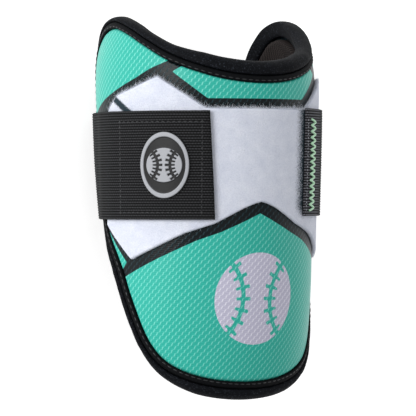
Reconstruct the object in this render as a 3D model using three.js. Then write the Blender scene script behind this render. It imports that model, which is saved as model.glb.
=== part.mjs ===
// A batter's elbow guard, lying on its open back with its padded face up.
//
// The guard is a curved shell bent round an arm that runs along Y. Every layer is drawn on the
// unrolled arm, a flat sheet of turn (degrees round the arm from the front) and height (from the
// bottom tip), and then wrapped: lift is the distance out from the face of the shell.
// X runs across the arm, Y along it, +Z out of the guard's front. Lengths are in millimetres.

import * as THREE from 'three';

// The arm that the guard is bent round
const guardLength = 220;        // bottom tip to the tops of the side lobes
const halfWidth = 62.7;         // arm axis to the side of the shell
const frontDepth = 62.5;        // arm axis to the front of the shell at the strap
const flankDepth = 60.7;        // the same for the flanks that reach behind the axis
const strapDrop = 48;           // arm axis down to the flat back of the strap

// The layers, from the outside in
const seamGap = 0.4;            // room left between two pieces that touch
const shellWall = 3.6;
const padThickness = 6.5;
const panelThickness = 2;
const hookThickness = 0.8;
const strapThickness = 1.8;
const badgeThickness = 1.1;

// The rim
const bindingWidth = 4;
const bindingCrown = 1;         // how far the binding stands above the shell
const pressedShare = 0.3;       // share of it that is left where the strap presses on the binding
const rollWidth = 8;            // the soft lip at its widest, on the front of the top edge
const rollCrown = 1.6;
const rimReach = 2;             // how far the soft rim runs in under the shell
const rimThickness = 3.8;
const padGroove = 1.5;          // open groove between the soft rim and the pad

// The strap, its fastener and its badge
const strapWidth = 61;
const strapHeight = 134;        // bottom tip of the guard to the middle of the strap
const strapTip = -26.6;           // turn at which the free end stops, degrees
const strapSlant = 3;           // turn by which the free end reaches further at its lower edge
const strapRoot = 28.5;         // turn at which the sewn end starts
const strapLean = 2;            // how much higher the sewn end sits than the free end
const flatBackWidth = 74;       // stretch of the strap that lies flat
const strapFold = 5;            // how tightly the strap turns into its flat back
const strapPull = 0.18;         // how far it keeps the flank's heading, as a share of the way down
const hookFrom = -75;
const hookTo = -32;
const hookMargin = 5;           // strap edge to hook patch
const badgeWidth = 27;
const badgeHeight = 38;
const badgeTurn = -49.6;
const easeTurn = 12;            // degrees in which the strap steps from one seat to the next

// How finely the layers are cut into facets
const columnStep = 5;           // degrees
const endColumns = [0.45, 0.15, 0.02]; // last columns before a layer's end, in shares of columnStep
const edgeSamples = 720;
const rimStations = 92;
const shellRows = 16;
const padRows = 16;
const patchRows = 4;
const hookColumns = 10;
const badgeColumns = 14;
const badgeReach = 0.93;        // outermost chord of the badge, as a share of its half width's turn
const strapRows = 8;
const arcSteps = 22;
const bendSteps = 9;

// Cross-sections of the shell's face. Heights are shares of guardLength, the other columns shares
// of halfWidth, frontDepth and flankDepth.
const sections = [
  { height: 0.00, width: 0.909, front: 0.736, flank: 0.758 },
  { height: 0.12, width: 0.965, front: 0.832, flank: 0.824 },
  { height: 0.28, width: 0.992, front: 0.928, flank: 0.850 },
  { height: 0.47, width: 0.985, front: 1.000, flank: 0.880 },
  { height: 0.75, width: 1.000, front: 1.040, flank: 1.000 },
  { height: 0.87, width: 0.990, front: 1.020, flank: 1.040 },
  { height: 1.00, width: 0.900, front: 0.790, flank: 1.030 },
];

// The right half of the shell's edge from the middle of the top to the bottom tip, with the width
// of the soft lip there as a share of rollWidth. The rise is 1 where the rim stands at its full
// height and 0 where the strap presses it flat.
const edgeRows = [
  { turn: 0.0, height: 0.819, lip: 1.00, rise: 1.0 },
  { turn: 18.0, height: 0.826, lip: 1.00, rise: 1.0 },
  { turn: 33.5, height: 0.845, lip: 0.93, rise: 1.0 },
  { turn: 50.0, height: 0.876, lip: 0.66, rise: 1.0 },
  { turn: 63.0, height: 0.911, lip: 0.50, rise: 1.0 },
  { turn: 75.0, height: 0.941, lip: 0.44, rise: 1.0 },
  { turn: 84.0, height: 0.956, lip: 0.39, rise: 1.0 },
  { turn: 92.0, height: 0.963, lip: 0.36, rise: 1.0 },
  { turn: 99.0, height: 0.959, lip: 0.34, rise: 0.9 },
  { turn: 105.0, height: 0.948, lip: 0.34, rise: 0.8 },
  { turn: 110.5, height: 0.928, lip: 0.32, rise: 0.6 },
  { turn: 115.5, height: 0.903, lip: 0.30, rise: 0.3 },
  { turn: 119.5, height: 0.870, lip: 0.28, rise: 0.1 },
  { turn: 122.5, height: 0.826, lip: 0.28, rise: 0.0 },
  { turn: 122.6, height: 0.770, lip: 0.28, rise: 0.0 },
  { turn: 120.5, height: 0.712, lip: 0.28, rise: 0.0 },
  { turn: 117.0, height: 0.655, lip: 0.28, rise: 0.0 },
  { turn: 111.8, height: 0.594, lip: 0.28, rise: 0.0 },
  { turn: 105.0, height: 0.534, lip: 0.28, rise: 0.0 },
  { turn: 97.5, height: 0.480, lip: 0.32, rise: 0.0 },
  { turn: 89.5, height: 0.424, lip: 0.46, rise: 0.4 },
  { turn: 78.7, height: 0.347, lip: 0.50, rise: 1.0 },
  { turn: 70.3, height: 0.262, lip: 0.48, rise: 1.0 },
  { turn: 58.5, height: 0.157, lip: 0.48, rise: 1.0 },
  { turn: 47.5, height: 0.106, lip: 0.60, rise: 1.0 },
  { turn: 28.0, height: 0.069, lip: 0.74, rise: 1.0 },
  { turn: 0.0, height: 0.054, lip: 0.75, rise: 1.0 },
];

// The brushed loop panel, one row for each place round the arm: its upper and lower edge.
const panelRows = [
  { turn: 0, upper: 0.754, lower: 0.516 },
  { turn: 10, upper: 0.754, lower: 0.499 },
  { turn: 25, upper: 0.754, lower: 0.460 },
  { turn: 30, upper: 0.755, lower: 0.452 },
  { turn: 40, upper: 0.788, lower: 0.436 },
  { turn: 55, upper: 0.836, lower: 0.401 },
  { turn: 70, upper: 0.806, lower: 0.368 },
  { turn: 80, upper: 0.789, lower: 0.412 },
  { turn: 85, upper: 0.765, lower: 0.434 },
  { turn: 90, upper: 0.735, lower: 0.457 },
];

// Where the strap leaves the flanks: earlier near the tip, because the shell is cut back there.
const leaveRows = [
  { height: 0.470, turn: 97 },
  { height: 0.540, turn: 105 },
  { height: 0.609, turn: 112 },
  { height: 0.678, turn: 117.5 },
  { height: 0.748, turn: 121 },
];

const degree = Math.PI / 180;
const lastOf = (list) => list[list.length - 1];

/** Value of a table's column at a place, along smooth cubic pieces between its rows. */
function tableValue(rows, key, column, place) {
  let i = 0;
  while (i < rows.length - 2 && place > rows[i + 1][key]) i += 1;
  const slope = (k) => {
    const a = rows[Math.max(k - 1, 0)];
    const b = rows[Math.min(k + 1, rows.length - 1)];
    return (b[column] - a[column]) / (b[key] - a[key]);
  };
  const [a, b] = [rows[i], rows[i + 1]];
  const span = b[key] - a[key];
  const t = THREE.MathUtils.clamp((place - a[key]) / span, 0, 1);
  const rise = t * t * (3 - 2 * t);
  const leave = t * (1 - t) * (1 - t) * span;
  const arrive = t * t * (t - 1) * span;
  return a[column] * (1 - rise) + b[column] * rise + slope(i) * leave + slope(i + 1) * arrive;
}

/** Value of a table's column at a place, along straight pieces between its rows. */
function straightValue(rows, key, column, place) {
  let i = 0;
  while (i < rows.length - 2 && place > rows[i + 1][key]) i += 1;
  const t = (place - rows[i][key]) / (rows[i + 1][key] - rows[i][key]);
  return THREE.MathUtils.lerp(rows[i][column], rows[i + 1][column], THREE.MathUtils.clamp(t, 0, 1));
}

/** A point of the unrolled sheet, wrapped on to the arm: an ellipse's point and its normal. */
function onArm(turn, height, lift) {
  const share = height / guardLength;
  const width = halfWidth * tableValue(sections, 'height', 'width', share);
  const angle = turn * degree;
  const depth = Math.cos(angle) > 0
    ? frontDepth * tableValue(sections, 'height', 'front', share)
    : flankDepth * tableValue(sections, 'height', 'flank', share);
  const normal = new THREE.Vector3(Math.sin(angle) / width, 0, Math.cos(angle) / depth).normalize();
  const foot = new THREE.Vector3(width * Math.sin(angle), height, depth * Math.cos(angle));
  return foot.addScaledVector(normal, lift);
}

/** A closed body from its points and triangles, turned so that its faces point outwards. */
function solidOf(points, triangles) {
  const volume = triangles.reduce((sum, [a, b, c]) => {
    const cross = new THREE.Vector3().crossVectors(points[b], points[c]);
    return sum + points[a].dot(cross);
  }, 0);
  const index = triangles.flatMap(([a, b, c]) => (volume > 0 ? [a, b, c] : [a, c, b]));
  const geometry = new THREE.BufferGeometry().setFromPoints(points);
  geometry.setIndex(index);
  return geometry;
}

/** A slab between two equal grids of points, outer and inner, each a list of columns. */
function slab(outer, inner) {
  const columns = outer.length;
  const rows = outer[0].length;
  const points = [...outer.flat(), ...inner.flat()];
  const at = (side, c, r) => side * columns * rows + c * rows + r;
  const triangles = [];
  const quad = (a, b, c, d) => triangles.push([a, b, c], [a, c, d]);
  for (let c = 0; c < columns - 1; c += 1) {
    for (let r = 0; r < rows - 1; r += 1) {
      quad(at(0, c, r), at(0, c + 1, r), at(0, c + 1, r + 1), at(0, c, r + 1));
      quad(at(1, c, r), at(1, c, r + 1), at(1, c + 1, r + 1), at(1, c + 1, r));
    }
    quad(at(0, c, 0), at(1, c, 0), at(1, c + 1, 0), at(0, c + 1, 0));
    quad(at(0, c, rows - 1), at(0, c + 1, rows - 1), at(1, c + 1, rows - 1), at(1, c, rows - 1));
  }
  for (let r = 0; r < rows - 1; r += 1) {
    quad(at(0, 0, r), at(0, 0, r + 1), at(1, 0, r + 1), at(1, 0, r));
    const c = columns - 1;
    quad(at(0, c, r), at(1, c, r), at(1, c, r + 1), at(0, c, r + 1));
  }
  return solidOf(points, triangles);
}

/** A layer of the shell: columns of the unrolled sheet, wrapped at its inner and outer lift. */
function wrappedLayer(columns, rowCount, innerLift, outerLift) {
  const wrap = (lift) => columns.map(({ turn, lower, upper }) => (
    Array.from({ length: rowCount + 1 }, (_, r) => (
      onArm(turn, THREE.MathUtils.lerp(lower, upper, r / rowCount), lift)
    ))
  ));
  return slab(wrap(outerLift), wrap(innerLift));
}

// The shell's edge as one smooth closed curve on the unrolled sheet, both axes in millimetres.
const sheetScale = halfWidth * degree;
const edgeLoop = [
  ...edgeRows.map((row) => ({ ...row, side: 1 })),
  ...edgeRows.slice(1, -1).reverse().map((row) => ({ ...row, side: -1 })),
];
const edgeCurve = new THREE.CatmullRomCurve3(edgeLoop.map(({ turn, height, side }) => (
  new THREE.Vector3(side * turn * sheetScale, height * guardLength, 0)
)), true, 'centripetal');
edgeCurve.arcLengthDivisions = 800;

/** A place on the edge: its point, the way out of the sheet there, the lip's width and the rise. */
function edgePlace(share) {
  const knot = edgeCurve.getUtoTmapping(share) * edgeLoop.length;
  const before = edgeLoop[Math.floor(knot) % edgeLoop.length];
  const after = edgeLoop[Math.ceil(knot) % edgeLoop.length];
  const point = edgeCurve.getPointAt(share);
  const along = edgeCurve.getTangentAt(share);
  const between = (column) => THREE.MathUtils.lerp(before[column], after[column], knot % 1);
  return {
    x: point.x,
    y: point.y,
    outX: -along.y,
    outY: along.x,
    lip: between('lip') * rollWidth,
    rise: between('rise'),
  };
}

/** Columns of a layer whose edge lies a set distance inside the shell's edge. */
function columnsInside(inset) {
  const loop = Array.from({ length: edgeSamples }, (_, i) => {
    const place = edgePlace(i / edgeSamples);
    return { turn: (place.x - place.outX * inset) / sheetScale, height: place.y - place.outY * inset };
  });
  const reach = Math.max(...loop.map((point) => point.turn));
  const turns = [];
  const lastWhole = reach - columnStep * (endColumns[0] + endColumns[1]);
  for (let turn = 0; turn < lastWhole; turn += columnStep) turns.push(turn);
  for (const share of endColumns) turns.push(reach - columnStep * share);
  const allTurns = [...turns.slice(1).map((turn) => -turn).reverse(), ...turns];
  return allTurns.map((turn) => {
    const heights = [];
    loop.forEach((a, i) => {
      const b = loop[(i + 1) % edgeSamples];
      if ((a.turn - turn) * (b.turn - turn) > 0 || a.turn === b.turn) return;
      heights.push(a.height + (b.height - a.height) * (turn - a.turn) / (b.turn - a.turn));
    });
    return { turn, lower: Math.min(...heights), upper: Math.max(...heights) };
  });
}

/** A closed ring round the edge. The profile gives distances out from the edge, and lifts. */
function rimRing(profileAt) {
  const points = [];
  let corners = 0;
  for (let i = 0; i < rimStations; i += 1) {
    const place = edgePlace(i / rimStations);
    const profile = profileAt(place);
    corners = profile.length;
    for (const [out, lift] of profile) {
      const turn = (place.x + place.outX * out) / sheetScale;
      points.push(onArm(turn, place.y + place.outY * out, lift));
    }
  }
  const triangles = [];
  for (let i = 0; i < rimStations; i += 1) {
    const next = (i + 1) % rimStations;
    for (let j = 0; j < corners; j += 1) {
      const k = (j + 1) % corners;
      const [a, b, c, d] = [[i, j], [next, j], [next, k], [i, k]].map(([s, p]) => s * corners + p);
      triangles.push([a, b, c], [a, c, d]);
    }
  }
  return solidOf(points, triangles);
}

// Lifts of the layers' faces, all measured from the shell's outer face
const shelfLift = -shellWall - seamGap;
const rimFloor = shelfLift - rimThickness;
const panelFace = seamGap + panelThickness;
const strapSeat = panelFace + seamGap;
const flankSeat = bindingCrown * pressedShare + seamGap;
const hookFace = strapSeat + hookThickness;
const raisedStrapSeat = hookFace + seamGap;

function outerShell() {
  return wrappedLayer(columnsInside(0), shellRows, -shellWall, 0);
}

function innerPad() {
  const columns = columnsInside(rimReach + padGroove);
  return wrappedLayer(columns, padRows, shelfLift - padThickness, shelfLift);
}

function loopPanel() {
  const columns = [];
  const reach = lastOf(panelRows).turn;
  for (let turn = -reach; turn <= reach; turn += columnStep) {
    const edge = (column) => (
      straightValue(panelRows, 'turn', column, Math.abs(turn)) * guardLength
    );
    columns.push({ turn, lower: edge('lower'), upper: edge('upper') });
  }
  return wrappedLayer(columns, patchRows, seamGap, panelFace);
}

function edgeBinding() {
  const foot = shelfLift + seamGap;
  const bevel = bindingWidth * 0.22;
  return rimRing(({ rise }) => {
    const crown = bindingCrown * THREE.MathUtils.lerp(pressedShare, 1, rise);
    return [
      [seamGap, foot],
      [seamGap, crown * 0.4],
      [seamGap + bevel, crown],
      [bindingWidth - bevel, crown],
      [bindingWidth, crown * 0.4],
      [bindingWidth, foot],
    ];
  });
}

function rimLiner() {
  const start = bindingWidth + seamGap;
  return rimRing(({ lip, rise }) => [
    [-rimReach, rimFloor],
    [-rimReach, shelfLift],
    [start, shelfLift],
    [start, rollCrown * rise * 0.3],
    [start + lip * 0.2, rollCrown * rise * 0.85],
    [start + lip * 0.5, rollCrown * rise],
    [start + lip * 0.8, rollCrown * rise * 0.2 - 0.2],
    [start + lip, shelfLift * 0.45],
    [start + lip, rimFloor * 0.68],
    [start + lip * 0.6, rimFloor * 0.95],
    [start, rimFloor],
  ]);
}

/**
 * Lift of the strap's inner face: raised where the hook patch lies under it, and lowered on to the
 * binding past the loop panel's ends.
 */
function strapLift(turn) {
  const panelEnd = lastOf(panelRows).turn;
  const past = THREE.MathUtils.smoothstep(Math.abs(turn), panelEnd, panelEnd + easeTurn);
  const overHook = turn < (strapTip + strapRoot) / 2
    ? THREE.MathUtils.smoothstep(turn, hookFrom - hookMargin - easeTurn, hookFrom - hookMargin)
    : 0;
  const seat = THREE.MathUtils.lerp(strapSeat, raisedStrapSeat, overHook);
  return THREE.MathUtils.lerp(seat, flankSeat, past);
}

/**
 * The strap's route at one place across it, as inner points with the way out of the strap: from the free
 * end round the left flank, in a soft bend to the flat back, and up the right flank again.
 */
function strapRoute(across) {
  const freeHeight = strapHeight + strapWidth * across;
  const heightOn = (side) => freeHeight + (side > 0 ? strapLean : 0);
  const leavesAt = (height) => straightValue(leaveRows, 'height', 'turn', height / guardLength);
  const floor = -strapDrop + strapThickness;
  const arc = (side, from, to) => Array.from({ length: arcSteps + 1 }, (_, i) => {
    const height = heightOn(side);
    const turn = THREE.MathUtils.lerp(from, to, i / arcSteps);
    const point = onArm(turn, height, strapLift(turn));
    const out = onArm(turn, height, strapLift(turn) + 1).sub(point);
    return { point, out };
  });
  const bend = (side) => {
    const height = heightOn(side);
    const leaves = leavesAt(height);
    const start = onArm(side * leaves, height, flankSeat);
    const before = onArm(side * (leaves - 1), height, flankSeat);
    const heading = start.clone().sub(before).normalize();
    const end = new THREE.Vector3(side * flatBackWidth / 2, height, floor);
    const curve = new THREE.CubicBezierCurve3(
      start,
      start.clone().addScaledVector(heading, strapPull * start.distanceTo(end)),
      new THREE.Vector3(end.x + side * strapFold, height, floor),
      end,
    );
    return Array.from({ length: bendSteps }, (_, i) => {
      const isFlat = i === bendSteps - 1;
      const tangent = curve.getTangent((i + 1) / bendSteps);
      const out = isFlat
        ? new THREE.Vector3(0, 0, -1)
        : new THREE.Vector3(-tangent.z, 0, tangent.x).multiplyScalar(side);
      return { point: curve.getPoint((i + 1) / bendSteps), out };
    });
  };
  const left = arc(-1, strapTip - strapSlant * across, -leavesAt(heightOn(-1)));
  const right = arc(1, leavesAt(heightOn(1)), strapRoot);
  return [...left, ...bend(-1), ...bend(1).reverse(), ...right];
}

function strap() {
  const routes = Array.from({ length: strapRows + 1 }, (_, r) => strapRoute(r / strapRows - 0.5));
  const grid = (thickness) => routes[0].map((_, c) => (
    routes.map((route) => route[c].point.clone().addScaledVector(route[c].out, thickness))
  ));
  return slab(grid(strapThickness), grid(0));
}

function hookPatch() {
  const half = strapWidth / 2 - hookMargin;
  const columns = Array.from({ length: hookColumns + 1 }, (_, i) => ({
    turn: THREE.MathUtils.lerp(hookFrom, hookTo, i / hookColumns),
    lower: strapHeight - half,
    upper: strapHeight + half,
  }));
  return wrappedLayer(columns, patchRows, strapSeat, hookFace);
}

/** An oval patch on the strap: chords of an ellipse, as columns. */
function strapBadge() {
  const seat = raisedStrapSeat + strapThickness + seamGap;
  const columns = Array.from({ length: badgeColumns + 1 }, (_, i) => {
    const angle = THREE.MathUtils.lerp(-badgeReach, badgeReach, i / badgeColumns) * Math.PI / 2;
    const half = badgeHeight / 2 * Math.cos(angle);
    const turn = badgeTurn + badgeWidth / 2 * Math.sin(angle) / sheetScale;
    return { turn, lower: strapHeight - half, upper: strapHeight + half };
  });
  return wrappedLayer(columns, patchRows, seat, seat + badgeThickness);
}

/** One named piece with its own finish. */
function piece(name, geometry, color, roughness) {
  geometry.computeVertexNormals();
  const material = new THREE.MeshStandardMaterial({ color, roughness, metalness: 0 });
  const mesh = new THREE.Mesh(geometry, material);
  mesh.name = name;
  return mesh;
}

const guard = new THREE.Group();
guard.add(
  piece('outer_shell', outerShell(), '#6fd8c2', 0.7),
  piece('loop_panel', loopPanel(), '#dde1ef', 0.95),
  piece('edge_binding', edgeBinding(), '#101216', 0.6),
  piece('rim_liner', rimLiner(), '#15171c', 0.65),
  piece('inner_pad', innerPad(), '#2a2220', 0.9),
  piece('strap', strap(), '#2a2a2b', 0.85),
  piece('hook_patch', hookPatch(), '#1c1c1e', 0.8),
  piece('strap_badge', strapBadge(), '#b9babd', 0.5),
);

// The origin is under the middle of the guard, on the surface that it lies on.
const reach = new THREE.Box3().setFromObject(guard);
const middle = reach.getCenter(new THREE.Vector3());
guard.position.set(-middle.x, -middle.y, -reach.min.z);
guard.updateMatrixWorld(true);

export default guard;
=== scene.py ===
# %% [markdown]
# # Dressing a baseball elbow guard
# A batter straps this guard over the elbow. A hard curved shell carries a printed knit cover, a
# brushed loop panel and a wide elastic strap, and a soft black lip rolls round its edge. The packed
# model already holds every piece at its real size, so this lesson gives each one its fine surface.

# %% Load the fixed frame
import math

import bpy
import numpy as np
from mathutils import Matrix, Vector


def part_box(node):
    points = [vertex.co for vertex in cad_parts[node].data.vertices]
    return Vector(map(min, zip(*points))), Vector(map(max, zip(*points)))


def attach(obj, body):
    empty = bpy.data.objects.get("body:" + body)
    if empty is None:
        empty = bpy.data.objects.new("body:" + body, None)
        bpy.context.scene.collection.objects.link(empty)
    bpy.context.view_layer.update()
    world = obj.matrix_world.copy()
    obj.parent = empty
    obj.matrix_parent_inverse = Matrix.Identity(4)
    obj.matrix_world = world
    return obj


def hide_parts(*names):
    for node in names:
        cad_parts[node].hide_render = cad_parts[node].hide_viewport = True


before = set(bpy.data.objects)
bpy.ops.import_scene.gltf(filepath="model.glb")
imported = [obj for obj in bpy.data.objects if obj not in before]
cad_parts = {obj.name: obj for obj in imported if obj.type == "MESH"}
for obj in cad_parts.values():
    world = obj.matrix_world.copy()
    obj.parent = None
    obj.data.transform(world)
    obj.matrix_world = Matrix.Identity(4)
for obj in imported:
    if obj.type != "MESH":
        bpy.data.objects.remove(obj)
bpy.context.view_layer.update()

print("frame nodes:", sorted(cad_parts))

# %% [markdown]
# ## One sheet wrapped round an arm
# Every layer of the guard is drawn on the arm unrolled flat: turn in degrees from the front, height
# in millimetres from the bottom tip. Wrapping a flat drawing keeps stripes, ribs and stitches evenly
# spaced, which would be hard to do by pushing points about in space.

# %% Driving sizes of the guard, in millimetres and degrees
GUARD_LENGTH = 220.0
HALF_WIDTH = 62.7
FRONT_DEPTH = 62.5
FLANK_DEPTH = 60.7
STRAP_DROP = 48.0
STRAP_HEIGHT = 134.0
STRAP_WIDTH = 61.0
STRAP_LEAN = 2.0
SHEET_SCALE = HALF_WIDTH * math.pi / 180
MM = 0.001

# Columns: share of the length, then width, front depth and flank depth as shares of their sizes
SECTIONS = np.array([
    (0.00, 0.909, 0.736, 0.758),
    (0.12, 0.965, 0.832, 0.824),
    (0.28, 0.992, 0.928, 0.850),
    (0.47, 0.985, 1.000, 0.880),
    (0.75, 1.000, 1.040, 1.000),
    (0.87, 0.990, 1.020, 1.040),
    (1.00, 0.900, 0.790, 1.030),
])

# The right half of the edge. Columns: turn, share of the length, then the lip's width and its
# height as shares of their greatest. The strap presses the lip flat where it crosses.
EDGE_ROWS = np.array([
    (0.0, 0.819, 1.00, 1.0), (18.0, 0.826, 1.00, 1.0), (33.5, 0.845, 0.93, 1.0),
    (50.0, 0.876, 0.66, 1.0), (63.0, 0.911, 0.50, 1.0), (75.0, 0.941, 0.44, 1.0),
    (84.0, 0.956, 0.39, 1.0), (92.0, 0.963, 0.36, 1.0), (99.0, 0.959, 0.34, 0.9),
    (105.0, 0.948, 0.34, 0.8), (110.5, 0.928, 0.32, 0.6), (115.5, 0.903, 0.30, 0.3),
    (119.5, 0.870, 0.28, 0.1), (122.5, 0.826, 0.28, 0.0), (122.6, 0.770, 0.28, 0.0),
    (120.5, 0.712, 0.28, 0.0), (117.0, 0.655, 0.28, 0.0), (111.8, 0.594, 0.28, 0.0),
    (105.0, 0.534, 0.28, 0.0), (97.5, 0.480, 0.32, 0.0), (89.5, 0.424, 0.46, 0.4),
    (78.7, 0.347, 0.50, 1.0), (70.3, 0.262, 0.48, 1.0), (58.5, 0.157, 0.48, 1.0),
    (47.5, 0.106, 0.60, 1.0), (28.0, 0.069, 0.74, 1.0), (0.0, 0.054, 0.75, 1.0),
])

shell_low, shell_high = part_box("outer_shell")
strap_low, strap_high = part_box("strap")
AXIS_X = (shell_low.x + shell_high.x) / 2
TIP_Y = (strap_low.y + strap_high.y) / 2 - (STRAP_HEIGHT + STRAP_LEAN / 2) * MM
AXIS_Z = strap_low.z + STRAP_DROP * MM
print(f"arm axis at x {AXIS_X:.5f}, z {AXIS_Z:.5f}; bottom tip at y {TIP_Y:.5f}")

# %% The sheet-to-arm map


def smooth_column(table, column, place):
    """A table's column as a smooth curve: cubic pieces whose slope at a row is the slope between
    its neighbours."""
    x, y = table[:, 0], table[:, column]
    ahead = np.minimum(np.arange(len(x)) + 1, len(x) - 1)
    behind = np.maximum(np.arange(len(x)) - 1, 0)
    slope = (y[ahead] - y[behind]) / (x[ahead] - x[behind])
    i = np.clip(np.searchsorted(x, place) - 1, 0, len(x) - 2)
    span = x[i + 1] - x[i]
    t = np.clip((place - x[i]) / span, 0, 1)
    rise = t * t * (3 - 2 * t)
    leave = t * (1 - t) ** 2 * span
    arrive = t * t * (t - 1) * span
    return y[i] * (1 - rise) + y[i + 1] * rise + slope[i] * leave + slope[i + 1] * arrive


def on_arm(turn, height, lift):
    """A point of the sheet on the arm: the ellipse's point at that turn, plus lift along its normal."""
    turn, height, lift = np.broadcast_arrays(turn, height, lift)
    share = height / GUARD_LENGTH
    angle = np.radians(turn)
    width = HALF_WIDTH * smooth_column(SECTIONS, 1, share)
    front = FRONT_DEPTH * smooth_column(SECTIONS, 2, share)
    flank = FLANK_DEPTH * smooth_column(SECTIONS, 3, share)
    depth = np.where(np.cos(angle) > 0, front, flank)
    normal_x, normal_z = np.sin(angle) / width, np.cos(angle) / depth
    size = np.hypot(normal_x, normal_z)
    x = width * np.sin(angle) + lift * normal_x / size
    z = depth * np.cos(angle) + lift * normal_z / size
    return np.stack([AXIS_X + x * MM, TIP_Y + height * MM, AXIS_Z + z * MM], -1)


def unit(vectors):
    """Vectors of length one, each divided by its own length."""
    return vectors / np.linalg.norm(vectors, axis=-1, keepdims=True)


def square_to(vectors, axis):
    """The part of each vector that is square to an axis, at length one."""
    return unit(vectors - np.sum(vectors * axis, -1, keepdims=True) * axis)


def arm_spot(turn, height, lift):
    """A point of the sheet on the arm, and the way out of the arm there."""
    place = on_arm(turn, height, lift)
    return place, unit(on_arm(turn, height, lift + 1) - place)


# %% The edge as one closed curve


def closed_curve(knots, steps):
    """A centripetal Catmull-Rom curve: each piece leaves and reaches its knots at slopes weighted by
    the fourth root of the squared distances between them."""
    p0, p1, p2, p3 = (np.roll(knots, shift, axis=0) for shift in (1, 0, -1, -2))
    gap = [np.sum((b - a) ** 2, -1, keepdims=True) ** 0.25 for a, b in ((p0, p1), (p1, p2), (p2, p3))]
    first = ((p1 - p0) / gap[0] - (p2 - p0) / (gap[0] + gap[1]) + (p2 - p1) / gap[1]) * gap[1]
    second = ((p2 - p1) / gap[1] - (p3 - p1) / (gap[1] + gap[2]) + (p3 - p2) / gap[2]) * gap[1]
    t = (np.arange(steps) / steps)[None, :, None]
    p1, p2, first, second = (a[:, None, :] for a in (p1, p2, first, second))
    curve = (2 * p1 - 2 * p2 + first + second) * t ** 3
    curve = curve + (-3 * p1 + 3 * p2 - 2 * first - second) * t ** 2 + first * t + p1
    return curve.reshape(-1, knots.shape[1])


half = EDGE_ROWS * (SHEET_SCALE, GUARD_LENGTH, 1, 1)
mirror = half[1:-1][::-1] * (-1, 1, 1, 1)
edge_knots = np.vstack([half, mirror, half[:1]])
CURVE_STEPS = 60
edge_curve = closed_curve(edge_knots[:-1, :2], CURVE_STEPS)


def edge_places(count):
    """Even places round the edge: x and y on the sheet in millimetres, the outward direction there
    (the tangent turned a quarter left), the lip's two shares and the length of the edge."""
    loop = np.vstack([edge_curve, edge_curve[:1]])
    run = np.concatenate([[0], np.cumsum(np.hypot(*np.diff(loop[:, :2], axis=0).T))])
    at = np.arange(count) / count * run[-1]
    x, y = (np.interp(at, run, loop[:, k]) for k in range(2))
    knot = np.interp(at, run, np.arange(len(loop)) / CURVE_STEPS)
    wide, tall = (np.interp(knot, np.arange(len(edge_knots)), edge_knots[:, k]) for k in (2, 3))
    along = np.stack([np.roll(x, -1) - np.roll(x, 1), np.roll(y, -1) - np.roll(y, 1)], -1)
    along /= np.linalg.norm(along, axis=1, keepdims=True)
    return x, y, -along[:, 1], along[:, 0], wide, tall, run[-1]


print(f"edge is {edge_places(8)[6]:.1f} mm round")

# %% [markdown]
# ## Turning arrays into meshes
# Grids of points become quads by pure index arithmetic. The signed volume of a closed body tells
# which way its faces point, so each one can be turned outwards without any search.

# %% Mesh helpers
# The sheet's millimetres are stored in the mesh as hundredths
UV_SCALE = 0.01


def grid_faces(columns, rows, wrap_columns=False, wrap_rows=False):
    """Quads of a grid of points, numbered column by column, closed on itself where asked."""
    c = np.arange(columns if wrap_columns else columns - 1)[:, None]
    r = np.arange(rows if wrap_rows else rows - 1)[None, :]
    c_next, r_next = (c + 1) % columns, (r + 1) % rows
    corners = [c * rows + r, c_next * rows + r, c_next * rows + r_next, c * rows + r_next]
    return np.stack(np.broadcast_arrays(*corners), -1).reshape(-1, 4)


def signed_volume(points, faces):
    """Sum over the faces of a thin pyramid from the origin: a third of the corner dotted with the
    face's area vector."""
    corner = points[faces[:, 0]]
    total = 0.0
    for k in range(1, faces.shape[1] - 1):
        cross = np.cross(points[faces[:, k]], points[faces[:, k + 1]])
        total += np.sum(corner * cross) / 6
    return total


def make_piece(name, points, face_sets, slot, material, *nodes, uv=None, values=None):
    """A closed mesh object at the origin, with its sheet coordinates in millimetres and its named values per
    point. It rides on the guard's body, takes its finish, and stands for CAD nodes. Its slot is not used."""
    points = np.asarray(points, float).reshape(-1, 3)
    if sum(signed_volume(points, f) for f in face_sets) < 0:
        face_sets = [f[:, ::-1] for f in face_sets]
    loops = np.concatenate([f.ravel() for f in face_sets])
    sizes = np.concatenate([np.full(len(f), f.shape[1]) for f in face_sets])
    mesh = bpy.data.meshes.new(name)
    mesh.vertices.add(len(points))
    mesh.vertices.foreach_set("co", points.ravel())
    mesh.loops.add(len(loops))
    mesh.loops.foreach_set("vertex_index", loops.astype(np.int32))
    mesh.polygons.add(len(sizes))
    starts = np.concatenate([[0], np.cumsum(sizes)[:-1]])
    mesh.polygons.foreach_set("loop_start", starts.astype(np.int32))
    mesh.polygons.foreach_set("use_smooth", np.full(len(sizes), True))
    mesh.update(calc_edges=True)
    if uv is not None:
        layer = mesh.uv_layers.new(name="sheet")
        layer.data.foreach_set("uv", (uv.reshape(-1, 2) * UV_SCALE)[loops].ravel())
    for key, value in (values or {}).items():
        mesh.attributes.new(key, "FLOAT", "POINT").data.foreach_set("value", np.ravel(value))
    mesh.materials.append(material)
    piece = bpy.data.objects.new(name, mesh)
    bpy.context.scene.collection.objects.link(piece)
    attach(piece, "root")
    if nodes:
        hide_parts(*nodes)
    print(f"{name}: {len(points)} points, {int(np.sum(sizes - 2))} triangles")
    return piece


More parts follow.
